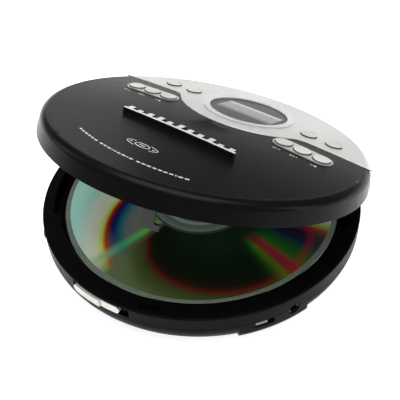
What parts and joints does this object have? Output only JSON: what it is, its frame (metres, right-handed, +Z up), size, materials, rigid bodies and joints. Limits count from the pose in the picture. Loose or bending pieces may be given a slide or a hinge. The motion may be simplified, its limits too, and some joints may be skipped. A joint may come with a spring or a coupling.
{
  "type": "portable cd player",
  "caption": "Round clamshell portable disc player with a silver keypad panel and display window on a hinged lid, shown part open over a disc on its spindle.",
  "frame": {"origin": "on the surface the feet stand on, on the spindle's axis", "axes": "+Z up along the spindle; -Y the front, where the latch slider is; +Y the rear, where the lid is hinged; +X the right side, where the headphone socket is"},
  "size_m": [0.1388, 0.1412, 0.0716],
  "materials": {
    "charcoal_lid": "dark charcoal satin-gloss moulding, faint orange-peel, fine scratches",
    "black_case": "near-black moulded plastic, fine spark texture, light wear on edges",
    "silver_panel": "silver-painted plastic, very fine metallic fleck, satin clear coat",
    "bright_trim": "bright plated trim with soft wear",
    "ring_trim": "satin silver ring round the display window",
    "window_black": "smoked clear plastic over a printed mask",
    "key_silver": "silver-painted key caps, polished by fingers",
    "badge_plate": "raised badge, bright top and dark sides",
    "disc_mirror": "mirror recording with clear rim and hub ring",
    "rubber_black": "soft moulded rubber",
    "steel_bright": "bright drawn steel",
    "steel_zinc": "zinc-plated pressed steel",
    "motor_can": "drawn steel motor can",
    "gear_white": "natural acetal moulding",
    "platter_black": "glass-filled black moulding",
    "sled_black": "glass-filled black moulding",
    "lens_glass": "coated clear lens",
    "board_green": "green solder mask over copper tracks",
    "chip_black": "moulded component bodies",
    "jack_black": "black moulded socket with plated lining",
    "switch_grey": "small moulded switch bodies",
    "cell_sleeve": "printed sleeve over a steel can",
    "contact_brass": "plated spring contact",
    "lcd_grey": "grey-green display glass"
  },
  "bodies": {
    "base": {"bottom_case": "black_case", "mid_case": "black_case", "rubber_feet": "rubber_black", "case_screws": "steel_zinc", "hinge_pin": "steel_bright", "lid_spring": "steel_bright", "latch_spring": "steel_bright", "lid_switch": "switch_grey", "headphone_jack": "jack_black", "power_jack": "jack_black", "hold_switch": "switch_grey", "volume_encoder": "switch_grey", "spindle_motor": "motor_can", "mech_frame": "steel_zinc", "guide_rods": "steel_bright", "grommets": "rubber_black", "sled_motor": "motor_can", "main_board": "board_green", "board_chips": "chip_black", "battery_cells": "cell_sleeve", "battery_contacts": "contact_brass"},
    "lid": {"lid_shell": "charcoal_lid", "control_panel": "silver_panel", "lcd_ring": "ring_trim", "lcd_window": "window_black", "left_key_bezel": "bright_trim", "right_key_bezel": "bright_trim", "badge": "badge_plate", "lid_cover": "black_case", "lid_screws": "steel_zinc", "lid_board": "board_green", "key_switches": "switch_grey", "lcd_module": "lcd_grey", "lid_hook": "platter_black"},
    "turntable_body": {"turntable": "platter_black", "clamp_balls": "steel_bright"},
    "disc_body": {"compact_disc": "disc_mirror"},
    "sled": {"laser_sled": "sled_black", "objective_lens": "lens_glass", "sled_rack": "gear_white"},
    "idler": {"idler_gear": "gear_white"},
    "motor_pinion": {"sled_pinion": "gear_white"},
    "latch": {"open_button": "bright_trim", "latch_catch": "platter_black"},
    "hold": {"hold_knob": "switch_grey"},
    "volume": {"volume_wheel": "black_case"},
    "door": {"battery_door": "black_case"},
    "left_key_outer_body": {"left_key_outer": "key_silver"},
    "left_key_middle_body": {"left_key_middle": "key_silver"},
    "left_key_inner_body": {"left_key_inner": "key_silver"},
    "right_key_inner_body": {"right_key_inner": "key_silver"},
    "right_key_middle_body": {"right_key_middle": "key_silver"},
    "right_key_outer_body": {"right_key_outer": "key_silver"},
    "button_far_left_body": {"button_far_left": "key_silver"},
    "button_near_left_body": {"button_near_left": "key_silver"},
    "button_near_right_body": {"button_near_right": "key_silver"},
    "button_far_right_body": {"button_far_right": "key_silver"}
  },
  "joints": [
    {"name": "lid_hinge", "type": "hinge", "parent": "base", "child": "lid", "pos_m": [0, 0.0656, 0.0162], "axis": [-1, 0, 0], "range_deg": [-20.4, 34.6]},
    {"name": "disc_spin", "type": "hinge", "parent": "base", "child": "turntable_body", "pos_m": [0, 0, 0.0125], "axis": [0, 0, 1], "continuous": true},
    {"name": "disc_lift", "type": "slide", "parent": "turntable_body", "child": "disc_body", "axis": [0, 0, 1], "range_m": [0, 0.003]},
    {"name": "sled_travel", "type": "slide", "parent": "base", "child": "sled", "axis": [0, -1, 0], "range_m": [0, 0.032]},
    {"name": "idler_turn", "type": "hinge", "parent": "base", "child": "idler", "pos_m": [0.024, -0.026, 0.0055], "axis": [0, 0, 1], "range_deg": [0, 612]},
    {"name": "sled_pinion_turn", "type": "hinge", "parent": "base", "child": "motor_pinion", "pos_m": [0.0332, -0.026, 0.0055], "axis": [0, 0, 1], "range_deg": [-2201, 0]},
    {"name": "open_slide", "type": "hinge", "parent": "base", "child": "latch", "pos_m": [0, 0, 0.015], "axis": [0, 0, 1], "range_deg": [0, 3], "stiffness_Nm_per_rad": 4},
    {"name": "hold_slide", "type": "hinge", "parent": "base", "child": "hold", "pos_m": [0, 0, 0.0101], "axis": [0, 0, 1], "range_deg": [0, 1.9]},
    {"name": "volume_turn", "type": "hinge", "parent": "base", "child": "volume", "pos_m": [-0.04125, -0.05242, 0.012], "axis": [0.7859, -0.6184, 0], "range_deg": [-150, 150]},
    {"name": "battery_door_slide", "type": "slide", "parent": "base", "child": "door", "axis": [0, 1, 0], "range_m": [0, 0.006]},
    {"name": "left_key_outer_press", "type": "slide", "parent": "lid", "child": "left_key_outer_body", "axis": [0, -0.3486, -0.9373], "range_m": [0, 0.0005], "stiffness_N_per_m": 800},
    {"name": "left_key_middle_press", "type": "slide", "parent": "lid", "child": "left_key_middle_body", "axis": [0, -0.3486, -0.9373], "range_m": [0, 0.0005], "stiffness_N_per_m": 800},
    {"name": "left_key_inner_press", "type": "slide", "parent": "lid", "child": "left_key_inner_body", "axis": [0, -0.3486, -0.9373], "range_m": [0, 0.0005], "stiffness_N_per_m": 800},
    {"name": "right_key_inner_press", "type": "slide", "parent": "lid", "child": "right_key_inner_body", "axis": [0, -0.3486, -0.9373], "range_m": [0, 0.0005], "stiffness_N_per_m": 800},
    {"name": "right_key_middle_press", "type": "slide", "parent": "lid", "child": "right_key_middle_body", "axis": [0, -0.3486, -0.9373], "range_m": [0, 0.0005], "stiffness_N_per_m": 800},
    {"name": "right_key_outer_press", "type": "slide", "parent": "lid", "child": "right_key_outer_body", "axis": [0, -0.3486, -0.9373], "range_m": [0, 0.0005], "stiffness_N_per_m": 800},
    {"name": "button_far_left_press", "type": "slide", "parent": "lid", "child": "button_far_left_body", "axis": [0, -0.3486, -0.9373], "range_m": [0, 0.0005], "stiffness_N_per_m": 800},
    {"name": "button_near_left_press", "type": "slide", "parent": "lid", "child": "button_near_left_body", "axis": [0, -0.3486, -0.9373], "range_m": [0, 0.0005], "stiffness_N_per_m": 800},
    {"name": "button_near_right_press", "type": "slide", "parent": "lid", "child": "button_near_right_body", "axis": [0, -0.3486, -0.9373], "range_m": [0, 0.0005], "stiffness_N_per_m": 800},
    {"name": "button_far_right_press", "type": "slide", "parent": "lid", "child": "button_far_right_body", "axis": [0, -0.3486, -0.9373], "range_m": [0, 0.0005], "stiffness_N_per_m": 800}
  ],
  "couplings": [
    {"joint": "idler_turn", "follows": "sled_travel", "rad_per_m": 333.33},
    {"joint": "sled_pinion_turn", "follows": "sled_travel", "rad_per_m": -1200}
  ]
}
